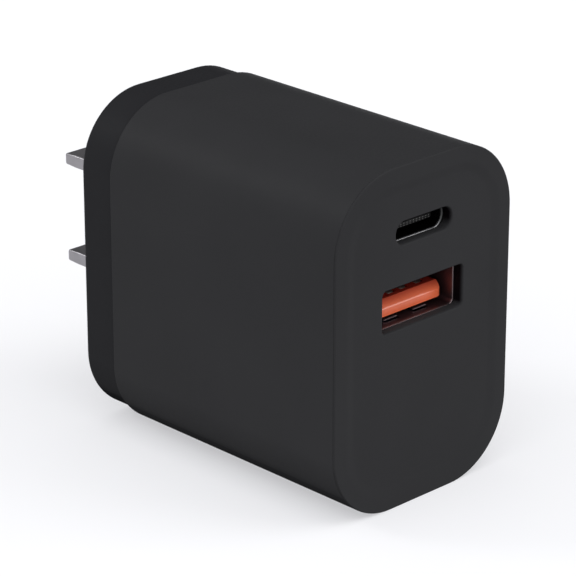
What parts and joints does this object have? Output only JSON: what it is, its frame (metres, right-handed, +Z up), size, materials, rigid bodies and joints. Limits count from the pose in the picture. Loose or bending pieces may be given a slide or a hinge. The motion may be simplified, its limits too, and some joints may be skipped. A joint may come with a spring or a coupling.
{
  "type": "usb wall charger",
  "caption": "Compact mains charger with rounded case, flat wall blades at the rear and a wide and a small USB port on its front face.",
  "frame": {"origin": "centre of the rear cover's flat wall face, between the two blades' sides", "axes": "+Y out of the wall face along the blades, +Z up the case's height, +X across its width; the ports face -Y"},
  "size_m": [0.028, 0.0579, 0.041],
  "materials": {
    "case_plastic": "fine matte moulded charcoal plastic",
    "cover_plastic": "fine matte moulded plastic, a shade darker than the housing",
    "blade_metal": "nickel-plated brass, fine satin",
    "leaf_metal": "bare phosphor bronze",
    "board_laminate": "green solder mask",
    "shell_metal": "nickel-plated stamped steel",
    "orange_plastic": "orange moulded nylon, slight gloss",
    "black_plastic": "black moulded nylon",
    "contact_metal": "gold-flashed contact strip",
    "filter_box": "yellow flame-retardant box",
    "fuse_body": "dark moulded box",
    "disc_coating": "blue dipped epoxy",
    "can_sleeve": "dark shrink sleeve over aluminium",
    "coil_former": "black phenolic moulding",
    "ferrite": "sintered ferrite",
    "copper_wire": "enamelled copper wire",
    "chip_epoxy": "black mould compound",
    "ceramic": "tan ceramic chips",
    "film": "clear-white insulating film",
    "spreader_metal": "bare bent sheet",
    "soft_pad": "grey-blue silicone gap pad"
  },
  "bodies": {
    "charger": {"bridge_rectifier": "chip_epoxy", "buck_inductor": "ferrite", "bulk_capacitor_lower": "can_sleeve", "bulk_capacitor_upper": "can_sleeve", "ceramic_capacitors": "ceramic", "choke_base": "coil_former", "choke_core": "ferrite", "choke_line_winding": "copper_wire", "choke_neutral_winding": "copper_wire", "fuse": "fuse_body", "heat_spreader": "spreader_metal", "insulation_film": "film", "lower_blade": "blade_metal", "lower_leaf_contact": "leaf_metal", "main_board": "board_laminate", "main_housing": "case_plastic", "optocoupler": "chip_epoxy", "output_capacitor_lower": "can_sleeve", "output_capacitor_upper": "can_sleeve", "port_board": "board_laminate", "port_controller": "chip_epoxy", "power_switch": "chip_epoxy", "primary_winding": "copper_wire", "rear_cover": "cover_plastic", "secondary_winding": "copper_wire", "sync_rectifier": "chip_epoxy", "thermal_pad": "soft_pad", "transformer_base": "coil_former", "transformer_bobbin": "coil_former", "transformer_core_lower": "ferrite", "transformer_core_upper": "ferrite", "upper_blade": "blade_metal", "upper_leaf_contact": "leaf_metal", "usb_a_contact_tail_1": "contact_metal", "usb_a_contact_tail_2": "contact_metal", "usb_a_contact_tail_3": "contact_metal", "usb_a_contact_tail_4": "contact_metal", "usb_a_insulator": "orange_plastic", "usb_a_shell": "shell_metal", "usb_c_contacts": "contact_metal", "usb_c_insulator": "black_plastic", "usb_c_shell": "shell_metal", "x_capacitor": "filter_box", "y_capacitor": "disc_coating"},
    "contact_arm_1": {"usb_a_contact_arm_1": "contact_metal"},
    "contact_arm_2": {"usb_a_contact_arm_2": "contact_metal"},
    "contact_arm_3": {"usb_a_contact_arm_3": "contact_metal"},
    "contact_arm_4": {"usb_a_contact_arm_4": "contact_metal"}
  },
  "joints": [
    {"name": "contact_arm_1_flex", "type": "hinge", "parent": "charger", "child": "contact_arm_1", "pos_m": [-0.0035, -0.0305, 0.00331], "axis": [1, 0, 0], "range_deg": [0, 3], "stiffness_Nm_per_rad": 0.07},
    {"name": "contact_arm_2_flex", "type": "hinge", "parent": "charger", "child": "contact_arm_2", "pos_m": [-0.001, -0.0305, 0.00331], "axis": [1, 0, 0], "range_deg": [0, 3], "stiffness_Nm_per_rad": 0.07},
    {"name": "contact_arm_3_flex", "type": "hinge", "parent": "charger", "child": "contact_arm_3", "pos_m": [0.001, -0.0305, 0.00331], "axis": [1, 0, 0], "range_deg": [0, 3], "stiffness_Nm_per_rad": 0.07},
    {"name": "contact_arm_4_flex", "type": "hinge", "parent": "charger", "child": "contact_arm_4", "pos_m": [0.0035, -0.0305, 0.00331], "axis": [1, 0, 0], "range_deg": [0, 3], "stiffness_Nm_per_rad": 0.07}
  ]
}
